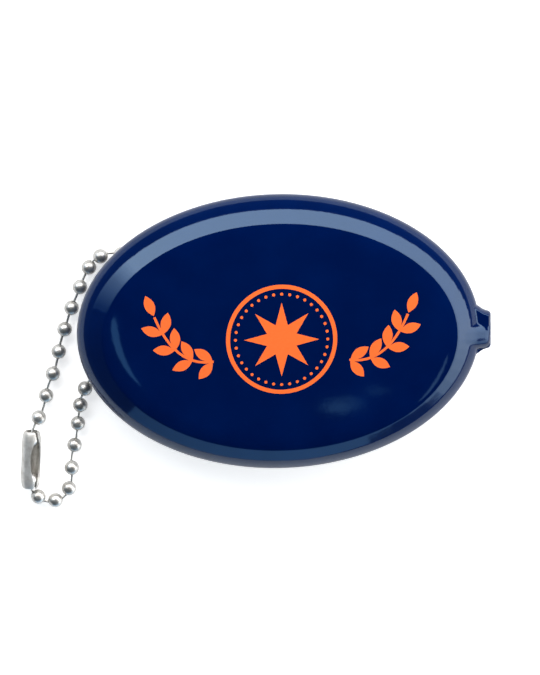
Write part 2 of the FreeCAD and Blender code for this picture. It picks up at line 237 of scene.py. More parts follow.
def onArc(arc, slope, inset=0.0):
    r, z, radius = arc[:3]
    turn = math.radians(slope)
    return r + (radius - inset) * math.sin(turn), z + (radius - inset) * math.cos(turn)


def domeArcs(half):
    # (centre r, centre z, radius, slope at its inner end, slope at its outer end) from the face to the rim
    p = purse
    rim = (p["halfWidth"] - p["rimRadius"], 0.0, p["rimRadius"])
    rollR, rollZ = onArc(rim, p["rimSlope"], p["rollRadius"])
    roll = (rollR, rollZ, p["rollRadius"])
    footR, footZ = onArc(roll, p["flankSlope"])
    turns = math.cos(math.radians(p["browSlope"])) - math.cos(math.radians(p["flankSlope"]))
    bend = p["shoulderRadius"] * turns
    climb = half - p["crown"] - bend - footZ
    topR, topZ = footR - climb / math.tan(math.radians(p["flankSlope"])), footZ + climb
    shoulderR, shoulderZ = onArc((topR, topZ, 0.0), p["flankSlope"], p["shoulderRadius"])
    shoulder = (shoulderR, shoulderZ, p["shoulderRadius"])
    browR, browZ = onArc(shoulder, p["browSlope"], p["browRadius"])
    rise = half - browZ - p["browRadius"]
    faceRadius = (browR ** 2 + rise ** 2) / (2 * rise) + p["browRadius"]
    faceZ = half - faceRadius
    faceSlope = math.degrees(math.atan2(browR, browZ - faceZ))
    return dict(
        face=(0.0, faceZ, faceRadius, 0.0, faceSlope),
        brow=(browR, browZ, p["browRadius"], faceSlope, p["browSlope"]),
        shoulder=shoulder + (p["browSlope"], p["flankSlope"]),
        roll=roll + (p["flankSlope"], p["rimSlope"]),
        rim=rim + (p["rimSlope"], 90.0),
    )


def solveHeights():
    # The rest flat is cut from the back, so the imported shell's height gives the middle plane.
    p = purse
    top = shellHigh.z / mm
    half = top / 2
    for _ in range(40):
        faceZ, faceRadius = domeArcs(half)["face"][1:3]
        drop = half - faceZ - math.sqrt(faceRadius ** 2 - (p["flatWidth"] / 2) ** 2)
        half = (top + drop) / 2
    p["half"], p["flatDrop"], p["middle"] = half, drop, half - drop
    return domeArcs(half)


dome = solveHeights()
purse["edge"] = onArc(dome["brow"], purse["browSlope"])[0]
purse["innerEdge"] = onArc(dome["brow"], purse["browSlope"], purse["wall"])[0]
print("purse half thickness %.3f mm, face radius %.1f mm" % (purse["half"], dome["face"][2]))


def profile(inset, density=1):
    # (half width, height over the middle plane) from the middle of the face to the tip of the rim
    faceZ, faceRadius = dome["face"][1], dome["face"][2] - inset
    edge = onArc(dome["face"], dome["face"][4], inset)[0]
    points = []
    for r in np.arange(0, edge, purse["faceStep"]):
        points.append((float(r), faceZ + math.sqrt(faceRadius ** 2 - r ** 2)))
    for name, steps in purse["arcSteps"].items():
        start, end = dome[name][3:]
        if name == "roll":    # the straight flank comes before it
            (r0, z0), (r1, z1) = points[-1], onArc(dome["roll"], start, inset)
            for share in (0.25, 0.5, 0.75):
                points.append((r0 + (r1 - r0) * share, z0 + (z1 - z0) * share))
        for slope in np.linspace(start, end, steps * density):
            point = onArc(dome[name], slope, inset)
            if math.dist(point, points[-1]) > purse["pointGap"]:
                points.append(point)
    return points


def onOval(r, z, angle, edge):
    # a profile point at an angle round the oval: even border outside the edge, stretched face inside it
    spare = purse["spare"]
    reach = r + spare if r >= edge else r * (edge + spare) / edge
    return reach * math.cos(angle), min(r, purse["halfWidth"]) * math.sin(angle), z


def tabReach(y):
    # how far the tab's outline stands out of the oval at a distance y off the middle line
    p = purse
    y = abs(y)
    slope = math.radians(p["tabSlope"])
    oval = p["halfLength"] * math.sqrt(max(0.0, 1 - (y / p["halfWidth"]) ** 2))
    cornerX = p["tabEnd"] - p["tabCorner"]
    endHalf = p["tabHalf"] - p["tabCorner"] * math.cos(slope)
    rootHalf = p["tabHalf"] + p["tabFlare"] * math.cos(slope)
    if y <= endHalf:
        return p["tabEnd"] - oval
    if y <= p["tabHalf"]:
        return cornerX + math.sqrt(max(0.0, p["tabCorner"] ** 2 - (y - endHalf) ** 2)) - oval
    if y <= rootHalf:
        flareX = cornerX + (p["tabCorner"] + p["tabFlare"]) * math.sin(slope)
        flare = flareX - math.sqrt(p["tabFlare"] ** 2 - (rootHalf - y) ** 2)
        return max(0.0, flare - oval) * min(1.0, (rootHalf - y) / p["tabFade"])
    return 0.0


def softMax(a, b, soft):
    gap = max(0.0, soft - abs(a - b)) / soft
    return max(a, b) + gap * gap * soft / 4


def softMin(a, b, soft):
    return -softMax(-a, -b, soft)


# the rim's outside, seen from the core
rimLine = np.array([q for q in profile(0, purse["rimFine"]) if q[0] > purse["core"] - purse["coreMargin"]])
rimLine -= (purse["core"], 0)
rimTurns = np.arctan2(rimLine[:, 1], rimLine[:, 0])


def rimDistance(lift):
    # how far from the core a line at this elevation meets the rim's outside
    last = min(max(int(np.searchsorted(-rimTurns, -lift)), 1), len(rimLine) - 1)
    (r0, z0), (r1, z1) = rimLine[last - 1], rimLine[last]
    across = math.cos(lift) * (z1 - z0) - math.sin(lift) * (r1 - r0)
    return (r0 * (z1 - z0) - z0 * (r1 - r0)) / across


def tabLong(angle):
    # how far from the core the rim's outline runs with the tab drawn out of it, and how much of that is tab
    p = purse
    reach = tabReach(p["halfWidth"] * math.sin(angle)) / math.cos(angle)
    grown = min(1.0, reach / p["tabGrown"])
    grown = grown * grown * (3 - 2 * grown)
    return p["halfWidth"] - p["core"] + reach - p["tabSunk"] * (1 - grown), grown


tabSpan = math.asin(purse["tabZone"] / purse["halfWidth"])
tabLine = np.array([onOval(purse["core"] + tabLong(a)[0], 0, a, purse["edge"])[:2]
                    for a in np.linspace(-tabSpan, tabSpan, purse["tabSamples"])])


def tabPlate(angle, lift, long):
    # distance from the core to the tab's flat plate, whose edge is as round as the rim
    p = purse
    thick = np.interp(p["halfWidth"] * math.sin(angle), p["plateStep"], (p["plateLow"], p["plateHalf"]))
    near, far = 0.0, long / math.cos(lift) if lift < 1.5 else thick    # straight up, only thickness counts
    for _ in range(20):
        middle = (near + far) / 2
        x, y = onOval(p["core"] + middle * math.cos(lift), 0, angle, p["edge"])[:2]
        inside = min(p["rimRadius"], math.sqrt(((tabLine - (x, y)) ** 2).sum(1).min()))
        height = math.sqrt(inside * (2 * p["rimRadius"] - inside))
        if middle * math.sin(lift) < softMin(height, thick, p["plateSoft"]):
            near = middle
        else:
            far = middle
    return near


def rimSection(angle, lift):
    # distance and height, from the core, of the rim's outside at an elevation; the neck tab stands out of it
    p = purse
    out = rimDistance(lift)
    tipY = p["halfWidth"] * math.sin(angle)
    if math.cos(angle) > 0 and abs(tipY) < p["tabZone"]:
        long, grown = tabLong(angle)
        up, along = max(math.sin(lift), 1e-4), max(math.cos(lift), 1e-4)
        beside = softMax(0.0, abs(tipY - p["ridgeAt"]) - p["ridgeHalf"], p["ridgeSoft"])
        ridge = p["ridgeEnd"] - p["ridgeSides"] * beside + p["ridgeFall"] * long
        ridge /= up + p["ridgeFall"] * along
        ridge = softMin(ridge, (long - p["ridgeInset"]) / along, p["ridgeCorner"])
        tab = softMax(tabPlate(angle, lift, long), ridge, p["ridgeFoot"])
        out = softMax(out, tab, p["tabBlend"] * grown + p["leastBlend"])
        out = min(out, max(long, p["halfWidth"] - p["core"]) / along)
    return p["core"] + out * math.cos(lift), out * math.sin(lift)


def rowPoint(point):
    # millimetres over the middle plane to metres in the row frame, with the back cut flat to rest on
    x, y, z = point
    return x * mm, y * mm, max(z + purse["middle"], 0.0) * mm


def columnAngles():
    # Even columns round the oval, closer across the neck tab; 0, 90 and 180 degrees are always there.
    p = purse
    quarter = np.concatenate([np.linspace(0, tabSpan, p["tabColumns"]),
                              np.linspace(tabSpan, math.pi / 2, p["rightColumns"])[1:]])
    left = math.pi - np.linspace(0, math.pi / 2, p["leftColumns"])[::-1][1:]
    upper = np.concatenate([quarter, left])
    return np.concatenate([upper, 2 * math.pi - upper[1:-1][::-1]])


def ringFaces(rows, columns, closed=True):
    faces = []
    for i in range(rows - 1):
        for j in range(columns if closed else columns - 1):
            k = (j + 1) % columns
            faces.append((i * columns + j, (i + 1) * columns + j, (i + 1) * columns + k, i * columns + k))
    return faces


def cutAt(points, limit):
    # the part of a profile inside a half width, ending on it
    height = np.interp(limit, [q[0] for q in points], [q[1] for q in points])
    return [q for q in points if q[0] < limit - 1e-6] + [(limit, float(height))]


def purseShell():
    p = purse
    angles = columnAngles()
    outer, inner = profile(0), profile(p["wall"])
    lifts = [math.radians(d) for d in np.linspace(90, 0, p["rimRows"])]
    limit = p["core"] - p["coreClear"]
    front = [q for q in outer[1:] if q[0] < limit]
    back = [q for q in outer if p["lipEdge"] < q[0] < limit]
    rows = [[onOval(r, z, a, p["edge"]) for a in angles] for r, z in front]
    sections = [[rimSection(a, lift) for a in angles] for lift in lifts]
    for side, half in ((1, sections), (-1, sections[-2::-1])):
        for section in half:
            rows.append([onOval(r, side * z, a, p["edge"]) for a, (r, z) in zip(angles, section)])
    rows += [[onOval(r, -z, a, p["edge"]) for a in angles] for r, z in back[::-1]]
    for edgeProfile, edge in ((outer, p["edge"]), (inner, p["innerEdge"])):
        r, z = cutAt(edgeProfile, p["lipEdge"])[-1]
        rows.append([onOval(r, -z, a, edge) for a in angles])
    inside = [(r, -z) for r, z in inner if r > p["lipEdge"]] + inner[-2:0:-1]
    rows += [[onOval(r, z, a, p["innerEdge"]) for a in angles] for r, z in inside]
    points = [rowPoint(q) for row in rows for q in row]
    n = len(angles)
    faces = ringFaces(len(rows), n)
    top, bottom, lastRow = len(points), len(points) + 1, (len(rows) - 1) * n
    points += [rowPoint((0, 0, outer[0][1])), rowPoint((0, 0, inner[0][1]))]
    for j in range(n):
        k = (j + 1) % n
        faces += [(top, j, k), (bottom, lastRow + k, lastRow + j)]
    return meshPiece("purseShell", points, faces, vinyl)


def beadCentre(number):
    low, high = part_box("bead_%02d" % number)
    return (low + high) / 2


# each pair is the bead outside a hole and the bead inside it
chainHoles = dict(radius=1.75, depth=3.6, beadRadius=1.45, sides=48, pairs=((11, 12), (19, 18)))


def cutChainHoles(piece):
    # round holes through the back's flank, along the links that carry the chain inside
    look = chainHoles
    long, radius = look["depth"] + look["beadRadius"], look["radius"] * mm
    for outside, inside in look["pairs"]:
        start = beadCentre(outside)
        along = (beadCentre(inside) - start).normalized()
        work = bmesh.new()
        place = Matrix.Translation(start + along * long * mm / 2)
        place = place @ along.to_track_quat("Z", "Y").to_matrix().to_4x4()
        bmesh.ops.create_cone(work, cap_ends=True, segments=look["sides"], radius1=radius, radius2=radius,
                              depth=long * mm, matrix=place)
        mesh = bpy.data.meshes.new("holeTool")
        work.to_mesh(mesh)
        work.free()
        tool = bpy.data.objects.new("holeTool", mesh)
        bpy.context.scene.collection.objects.link(tool)
        cut = piece.modifiers.new("hole", "BOOLEAN")
        cut.operation, cut.solver, cut.object = "DIFFERENCE", "EXACT", tool
        bakeModifiers(piece)
        bpy.data.objects.remove(tool)


lip = dict(
    slitGap=0.4, slitStop=0.2, slitFade=1.5,     # the slit narrows to its ends, short of the lips' border
    slitSpread=3.0,                              # how far from the slit the skin makes room for it
    along=29.5, across=19.0,                     # reach of the lips from the middle, along and across
    columns=61,
)


def lipSplit(r, y):
    # half of the slit's gap at this half width; it closes at the slit's ends
    fade = min(1.0, max(0.0, (purse["lipEdge"] - lip["slitStop"] - r) / lip["slitFade"]))
    return lip["slitGap"] / 2 * fade * max(0.0, 1 - y / lip["slitSpread"])


def lipQuarter(name, flipX, flipY):
    # a quarter of the back's skin: outer face, inner face and the walls between them
    p = purse
    angles = np.linspace(0, math.pi / 2, lip["columns"])
    n = len(angles)
    skins = [((r, -z), p["edge"]) for r, z in cutAt(profile(0), p["lipEdge"])]
    skins += [((r, -z), p["innerEdge"]) for r, z in cutAt(profile(p["wall"]), p["lipEdge"])[::-1]]
    points = []
    for (r, z), edge in skins:
        for angle in angles:
            x, y, z = onOval(r, z, angle, edge)
            points.append(rowPoint((flipX * x, flipY * (y + lipSplit(r, y)), z)))
    faces = ringFaces(len(skins), n, closed=False)
    faces.append([i * n for i in range(len(skins))])
    faces.append([i * n + n - 1 for i in reversed(range(len(skins)))])
    piece = meshPiece(name, points, faces, vinyl)
    tidyMesh(piece)
    piece.data.set_sharp_from_angle(angle=math.radians(p["crease"]))
    return piece


shell = purseShell()
cutChainHoles(shell)
shell.data.set_sharp_from_angle(angle=math.radians(purse["crease"]))
print("purse shell:", len(shell.data.polygons), "faces")
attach(shell, "purse")
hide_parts("purse_shell")

lipCount = 0
for lipName, flipY in (("upper_lip", 1), ("lower_lip", -1)):
    for sideName, flipX in (("Left", -1), ("Right", 1)):
        quarter = lipQuarter(lipName.split("_")[0] + "Lip" + sideName, flipX, flipY)
        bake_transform(quarter)
        lipCount += 1
    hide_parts(lipName)
print("lips made:", lipCount, "quarters")


# Print on the face: drawn flat by a node tree, then laid on the crown

ornament = dict(
    ringOuter=10.8, ringInner=10.0,
    dotCount=36, dotRadius=0.3, dotCircle=8.95,
    starPoints=8, starOuter=7.3, starInner=3.1,
    leafPairs=4, leafLength=4.2, leafWidth=2.0, leafTurn=42.0, leafFoot=0.3,
    leafyPart=0.75,                          # share of the stem that bears pairs of leaves
    stemWidth=0.5, stemStart=(13.2, -4.2), stemBend=(20.5, -5.4), stemEnd=(24.6, 4.6),
    film=0.03, bedded=0.08,                  # mm of ink over the skin, and let into it
    ringSteps=128, dotSides=14, leafSides=32, stemSteps=40,
    weld=0.001, crease=35.0,
)


def newTree(name, sizes):
    # a geometry node tree with a named input for each size
    tree = bpy.data.node_groups.new(name, "GeometryNodeTree")
    tree.interface.new_socket("Geometry", in_out="INPUT", socket_type="NodeSocketGeometry")
    for label, value in sizes.items():
        kind = "NodeSocketInt" if isinstance(value, int) else "NodeSocketFloat"
        tree.interface.new_socket(label, in_out="INPUT", socket_type=kind)
    tree.interface.new_socket("Geometry", in_out="OUTPUT", socket_type="NodeSocketGeometry")
    return tree, addNode(tree, "NodeGroupInput")


def closeTree(tree, last, material):
    whole = addNode(tree, "GeometryNodeRealizeInstances", links={"Geometry": last})
    coloured = addNode(tree, "GeometryNodeSetMaterial", {"Material": material}, {"Geometry": (whole, 0)})
    addNode(tree, "NodeGroupOutput", links={"Geometry": (coloured, 0)})


def growTree(piece, tree, sizes):
    # run the tree on the piece with these sizes and keep the plain mesh
    modifier = piece.modifiers.new(tree.name, "NODES")
    modifier.node_group = tree
    for item in tree.interface.items_tree:
        if item.in_out == "INPUT" and item.name in sizes:
            modifier[item.identifier] = sizes[item.name]
    bakeModifiers(piece)


def ornamentTree(sizes):
    look = ornament
    tree, given = newTree("faceOrnament", sizes)
    # ring, star: outlines filled in one go
    ringOut = addNode(tree, "GeometryNodeCurvePrimitiveCircle", {"Resolution": look["ringSteps"]},
                      {"Radius": (given, "ringOuter")}, mode="RADIUS")
    ringIn = addNode(tree, "GeometryNodeCurvePrimitiveCircle", {"Resolution": look["ringSteps"]},
                     {"Radius": (given, "ringInner")}, mode="RADIUS")
    star = addNode(tree, "GeometryNodeCurveStar",
                   links={"Points": (given, "starPoints"), "Inner Radius": (given, "starInner"),
                          "Outer Radius": (given, "starOuter")})
    outlines = addNode(tree, "GeometryNodeJoinGeometry")
    for source in (ringOut, ringIn, star):
        tree.links.new(source.outputs["Curve"], outlines.inputs[0])
    filled = addNode(tree, "GeometryNodeFillCurve", links={"Curve": (outlines, 0)}, mode="TRIANGLES")
    # dots between the ring and the star
    dotRing = addNode(tree, "GeometryNodeMeshCircle",
                      links={"Vertices": (given, "dotCount"), "Radius": (given, "dotCircle")})
    dot = addNode(tree, "GeometryNodeMeshCircle", {"Vertices": look["dotSides"]},
                  {"Radius": (given, "dotRadius")}, fill_type="NGON")
    dots = addNode(tree, "GeometryNodeInstanceOnPoints", links={"Points": (dotRing, 0), "Instance": (dot, 0)})
    # leaf: a circle drawn out to a point at both ends, its foot by the stem
    circle = addNode(tree, "GeometryNodeMeshCircle", {"Vertices": look["leafSides"], "Radius": 1.0},
                     fill_type="NGON")
    place = addNode(tree, "GeometryNodeInputPosition")
    size = addNode(tree, "ShaderNodeVectorMath", links={0: (place, 0)}, operation="ABSOLUTE")
    taper = addNode(tree, "ShaderNodeVectorMath", {1: (0, 1, 0), 2: (1, 0, 0)}, {0: (size, 0)},
                    operation="MULTIPLY_ADD")
    pointed = addNode(tree, "ShaderNodeVectorMath", links={0: (place, 0), 1: (taper, 0)},
                      operation="MULTIPLY")
    halfLeaf = look["leafLength"] / 2
    leafAt = addNode(tree, "ShaderNodeVectorMath",
                     {1: (halfLeaf, look["leafWidth"] / 2, 0), 2: (halfLeaf + look["leafFoot"], 0, 0)},
                     {0: (pointed, 0)}, operation="MULTIPLY_ADD")
    leaf = addNode(tree, "GeometryNodeSetPosition", links={"Geometry": (circle, 0), "Position": (leafAt, 0)})
    # stem with leaves in pairs and one at its tip
    (bendX, bendY), (endX, endY) = look["stemBend"], look["stemEnd"]
    stem = addNode(tree, "GeometryNodeCurveQuadraticBezier",
                   {"Resolution": look["stemSteps"], "Start": (*look["stemStart"], 0),
                    "Middle": (bendX, bendY, 0), "End": (endX, endY, 0)})
    halfStem = look["stemWidth"] / 2
    strip = addNode(tree, "GeometryNodeCurvePrimitiveLine",
                    {"Start": (halfStem, 0, 0), "End": (-halfStem, 0, 0)})
    upright = addNode(tree, "GeometryNodeSetCurveNormal", links={"Curve": (stem, 0)}, mode="Z_UP")
    ribbon = addNode(tree, "GeometryNodeCurveToMesh",
                     links={"Curve": (upright, 0), "Profile Curve": (strip, 0)})
    leafy = addNode(tree, "GeometryNodeTrimCurve", {"Start": 0.0, "End": look["leafyPart"]},
                    {"Curve": (stem, 0)}, mode="FACTOR")
    spots = addNode(tree, "GeometryNodeCurveToPoints",
                    links={"Curve": (leafy, 0), "Count": (given, "leafPairs")}, mode="COUNT")
    heading = addNode(tree, "FunctionNodeAlignRotationToVector", links={"Vector": (spots, "Tangent")},
                      axis="X", pivot_axis="Z")
    tipTurn = math.atan2(endY - bendY, endX - bendX)
    tip = addNode(tree, "GeometryNodeTransform",
                  {"Translation": (endX, endY, 0), "Rotation": (0, 0, tipTurn)}, {"Geometry": (leaf, 0)})
    sprig = addNode(tree, "GeometryNodeJoinGeometry")
    for source in (ribbon, tip):
        tree.links.new(source.outputs[0], sprig.inputs[0])
    for side in (1, -1):
        leafTurn = side * math.radians(look["leafTurn"])
        spin = addNode(tree, "FunctionNodeEulerToRotation", {"Euler": (0, 0, leafTurn)})
        facing = addNode(tree, "FunctionNodeRotateRotation",
                         links={"Rotation": (heading, 0), "Rotate By": (spin, 0)}, rotation_space="LOCAL")
        leaves = addNode(tree, "GeometryNodeInstanceOnPoints",
                         links={"Points": (spots, "Points"), "Instance": (leaf, 0), "Rotation": (facing, 0)})
        tree.links.new(leaves.outputs[0], sprig.inputs[0])
    mirrored = addNode(tree, "GeometryNodeTransform", {"Scale": (-1, 1, 1)}, {"Geometry": (sprig, 0)})
    drawing = addNode(tree, "GeometryNodeJoinGeometry")
    for source in (filled, dots, sprig, mirrored):
        tree.links.new(source.outputs[0], drawing.inputs[0])
    flat = addNode(tree, "GeometryNodeRealizeInstances", links={"Geometry": (drawing, 0)})
    fine = addNode(tree, "GeometryNodeSubdivideMesh", {"Level": 1}, {"Mesh": (flat, 0)})
    # every face up, then a film with a closed underside
    normal = addNode(tree, "GeometryNodeInputNormal")
    normalZ = addNode(tree, "ShaderNodeSeparateXYZ", links={0: (normal, 0)})
    down = addNode(tree, "FunctionNodeCompare", links={"A": (normalZ, "Z")}, operation="LESS_THAN",
                   data_type="FLOAT")
    faceUp = addNode(tree, "GeometryNodeFlipFaces", links={"Mesh": (fine, 0), "Selection": (down, 0)})
    upward = addNode(tree, "ShaderNodeCombineXYZ", {"Z": look["film"] + look["bedded"]})
    raised = addNode(tree, "GeometryNodeExtrudeMesh", {"Individual": False, "Offset Scale": 1.0},
                     {"Mesh": (faceUp, 0), "Offset": (upward, 0)}, mode="FACES")
    under = addNode(tree, "GeometryNodeFlipFaces", links={"Mesh": (faceUp, 0)})
    film = addNode(tree, "GeometryNodeJoinGeometry")
    for source in (raised, under):
        tree.links.new(source.outputs[0], film.inputs[0])
    sealed = addNode(tree, "GeometryNodeMergeByDistance", {"Distance": look["weld"]}, {"Geometry": (film, 0)})
    # onto the crown: its arc stretched along the oval, then millimetres to metres
    crownZ, crownRadius = dome["face"][1:3]
    squeeze = purse["edge"] / (purse["edge"] + purse["spare"])
    point = addNode(tree, "GeometryNodeInputPosition")
    oval = addNode(tree, "ShaderNodeVectorMath", {1: (squeeze, 1, 0)}, {0: (point, 0)}, operation="MULTIPLY")
    gone = addNode(tree, "ShaderNodeVectorMath", links={0: (oval, 0), 1: (oval, 0)}, operation="DOT_PRODUCT")
    left = addNode(tree, "ShaderNodeMath", {0: crownRadius ** 2}, {1: (gone, "Value")}, operation="SUBTRACT")
    arch = addNode(tree, "ShaderNodeMath", {1: 0.5}, {0: (left, 0)}, operation="POWER")
    lift = addNode(tree, "ShaderNodeMath", {1: crownZ + purse["middle"] - look["bedded"]}, {0: (arch, 0)},
                   operation="ADD")
    upTo = addNode(tree, "ShaderNodeCombineXYZ", links={"Z": (lift, 0)})
    laid = addNode(tree, "ShaderNodeVectorMath", links={0: (point, 0), 1: (upTo, 0)}, operation="ADD")
    metres = addNode(tree, "ShaderNodeVectorMath", {"Scale": mm}, {0: (laid, 0)}, operation="SCALE")
    printed = addNode(tree, "GeometryNodeSetPosition",
                      links={"Geometry": (sealed, 0), "Position": (metres, 0)})
    closeTree(tree, (printed, 0), ink)
    return tree


def faceOrnament():
    named = ("ringOuter", "ringInner", "dotCount", "dotRadius", "dotCircle", "starPoints", "starOuter",
             "starInner", "leafPairs")
    sizes = {name: ornament[name] for name in named}
    piece = meshPiece("faceOrnament", [(0, 0, 0)], [], ink)
    growTree(piece, ornamentTree(sizes), sizes)
    piece.data.polygons.foreach_set("use_smooth", [True] * len(piece.data.polygons))
    piece.data.set_sharp_from_angle(angle=math.radians(ornament["crease"]))
    return piece


printPiece = faceOrnament()
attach(printPiece, "purse")
print("face ornament:", len(printPiece.data.polygons), "faces")


# Ball chain: node trees set one turned bead at every place of the chain and draw the links between them

chain = dict(
    beadRadius=1.45, beadWall=0.22, holeRadius=0.38, lipRadius=0.07, lipCut=0.3,
    outerRows=29, innerRows=17, segments=36,
    wireRadius=0.24, headRadius=0.43, tipRadius=0.02,    # a link is a wire, upset to a head at both tips
    headDepth=1.27,                                      # from a link's tip to its turn in a bead's hole
    linkStep=0.09, linkSides=14,
)


def beadMesh():
    # hollow bead turned from its wall's section, with a rolled edge at both holes, axis along Z
    look = chain
    rOut, rIn, hole = look["beadRadius"], look["beadRadius"] - look["beadWall"], look["holeRadius"]
    soft, cut = look["lipRadius"], look["lipRadius"] * look["lipCut"]
    turnOut, turnIn = math.acos((hole + soft) / rOut), math.acos(hole / rIn)
    turns = np.linspace(-turnOut, turnOut, look["outerRows"])
    section = [(rOut * math.cos(t), rOut * math.sin(t)) for t in turns]
    lipTop = section[-1][1]
    section += [(hole + cut, lipTop - cut), (hole, lipTop - soft)]
    turns = np.linspace(turnIn, -turnIn, look["innerRows"])
    section += [(rIn * math.cos(t), rIn * math.sin(t)) for t in turns]
    section += [(hole, -lipTop + soft), (hole + cut, -lipTop + cut)]
    n = look["segments"]
    points, faces = [], []
    for r, z in section:
        for j in range(n):
            angle = 2 * math.pi * j / n
            points.append((r * math.cos(angle) * mm, r * math.sin(angle) * mm, z * mm))
    for i in range(len(section)):
        for j in range(n):
            k, up = (j + 1) % n, (i + 1) % len(section)
            faces.append((i * n + j, i * n + k, up * n + k, up * n + j))
    return meshPiece("beadPattern", points, faces, nickel)


def linkTips(number):
    # both tips of a link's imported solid, the one in the bead of the same number first
    points = np.array([v.co for v in frame["nodes"]["link_%02d" % number].data.vertices])
    tips = [np.array(beadCentre(number + 1))]
    for _ in range(6):    # to the farthest point and back, until both tips are found
        tips.append(points[np.argmax(((points - tips[-1]) ** 2).sum(1))])
    return Vector(tips[-2]), Vector(tips[-1])


def linkEnds(number):
    # where a link turns in the holes of its two beads
    first, last = linkTips(number)
    along = (last - first).normalized() * chain["headDepth"] * mm
    return first + along, last - along


def beadAxis(number, count):
    centre = beadCentre(number)
    low = linkEnds(number - 1)[1] if number > 1 else None
    high = linkEnds(number)[0] if number < count else None
    if low is None:
        return (high - centre).normalized()
    if high is None:
        return (centre - low).normalized()
    return (high - low).normalized()


def beadTree(pattern):
    tree, given = newTree("beadRow", {"beadScale": 1.0})
    source = addNode(tree, "GeometryNodeObjectInfo", {"Object": pattern, "As Instance": True})
    axis = addNode(tree, "GeometryNodeInputNamedAttribute", {"Name": "beadAxis"}, data_type="FLOAT_VECTOR")
    facing = addNode(tree, "FunctionNodeAlignRotationToVector", links={"Vector": (axis, "Attribute")},
                     axis="Z")
    beads = addNode(tree, "GeometryNodeInstanceOnPoints",
                    links={"Points": (given, "Geometry"), "Instance": (source, "Geometry"),
                           "Rotation": (facing, 0), "Scale": (given, "beadScale")})
    closeTree(tree, (beads, 0), nickel)
    return tree


def linkTree(sizes):
    # each edge of a row is drawn as a wire; its radius follows a ball near either tip
    tree, given = newTree("linkRow", sizes)
    paths = addNode(tree, "GeometryNodeMeshToCurve", links={"Mesh": (given, "Geometry")})
    fine = addNode(tree, "GeometryNodeResampleCurve",
                   links={"Curve": (paths, 0), "Length": (given, "linkStep")}, mode="LENGTH")
    spot = addNode(tree, "GeometryNodeSplineParameter")
    whole = addNode(tree, "GeometryNodeSplineLength")
    left = addNode(tree, "ShaderNodeMath", links={0: (whole, "Length"), 1: (spot, "Length")},
                   operation="SUBTRACT")
    fromTip = addNode(tree, "ShaderNodeMath", links={0: (spot, "Length"), 1: (left, 0)}, operation="MINIMUM")
    across = addNode(tree, "ShaderNodeMath", {1: 2.0}, {0: (given, "headRadius")}, operation="MULTIPLY")
    beyond = addNode(tree, "ShaderNodeMath", links={0: (across, 0), 1: (fromTip, 0)}, operation="SUBTRACT")
    squared = addNode(tree, "ShaderNodeMath", links={0: (fromTip, 0), 1: (beyond, 0)}, operation="MULTIPLY")
    ball = addNode(tree, "ShaderNodeMath", links={0: (squared, 0)}, operation="SQRT")
    blunt = addNode(tree, "ShaderNodeMath", links={0: (fromTip, 0), 1: (given, "tipRadius")}, operation="ADD")
    shank = addNode(tree, "ShaderNodeMath", links={0: (blunt, 0), 1: (given, "wireRadius")},
                    operation="MINIMUM")
    radius = addNode(tree, "ShaderNodeMath", links={0: (ball, 0), 1: (shank, 0)}, operation="MAXIMUM")
    girth = addNode(tree, "GeometryNodeCurvePrimitiveCircle", {"Radius": 1.0},
                    {"Resolution": (given, "linkSides")}, mode="RADIUS")
    wires = addNode(tree, "GeometryNodeCurveToMesh", {"Fill Caps": True},
                    {"Curve": (fine, 0), "Profile Curve": (girth, 0), "Scale": (radius, 0)})
    closeTree(tree, (wires, 0), nickel)
    return tree


beadPattern = beadMesh()
beadRow = beadTree(beadPattern)
linkSizes = {name: chain[name] * mm for name in ("wireRadius", "headRadius", "tipRadius", "linkStep")}
linkSizes["linkSides"] = chain["linkSides"]
linkRow = linkTree(linkSizes)
beadCount = sum(name.startswith("bead_") for name in frame["nodes"])
for body, members in frame["record"]["behaviour"]["bodies"].items():
    beads, links = [[int(name[5:]) for name in members if name.startswith(kind)]
                    for kind in ("bead_", "link_")]
    if not beads:
        continue
    rowName = "".join(part.capitalize() for part in body.split("_"))
    row = meshPiece("beads" + rowName, [beadCentre(n) for n in beads], [], nickel)
    axes = row.data.attributes.new("beadAxis", "FLOAT_VECTOR", "POINT")
    axes.data.foreach_set("vector", [c for n in beads for c in beadAxis(n, beadCount)])
    growTree(row, beadRow, {"beadScale": 1.0})
    wires = meshPiece("links" + rowName, [tip for n in links for tip in linkTips(n)], [], nickel,
                      [(2 * i, 2 * i + 1) for i in range(len(links))])
    growTree(wires, linkRow, linkSizes)
    tidyMesh(wires)
    for piece, kind, numbers in ((row, "bead_%02d", beads), (wires, "link_%02d", links)):
        piece.data.polygons.foreach_set("use_smooth", [True] * len(piece.data.polygons))
        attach(piece, body)
        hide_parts(*[kind % n for n in numbers])
bpy.data.objects.remove(beadPattern)
print("chain set:", beadCount, "beads")


# Connector: a strip rolled into a barrel, drawn in at its ends, its seam open widest in the middle

barrel = dict(
    length=11.5, boreRadius=1.59, wall=0.3, mouthRadius=1.1, taper=2.2,
    drawRound=0.96, drawFull=0.8,                # the drawn ends follow part of an ellipse
    seam=0.3, window=1.3,                        # half the seam's gap at its ends and in its middle
    windowReach=4.6, seamTurn=38.0,
    rows=65, columns=49, edgeRadius=0.06, crease=50.0,
)


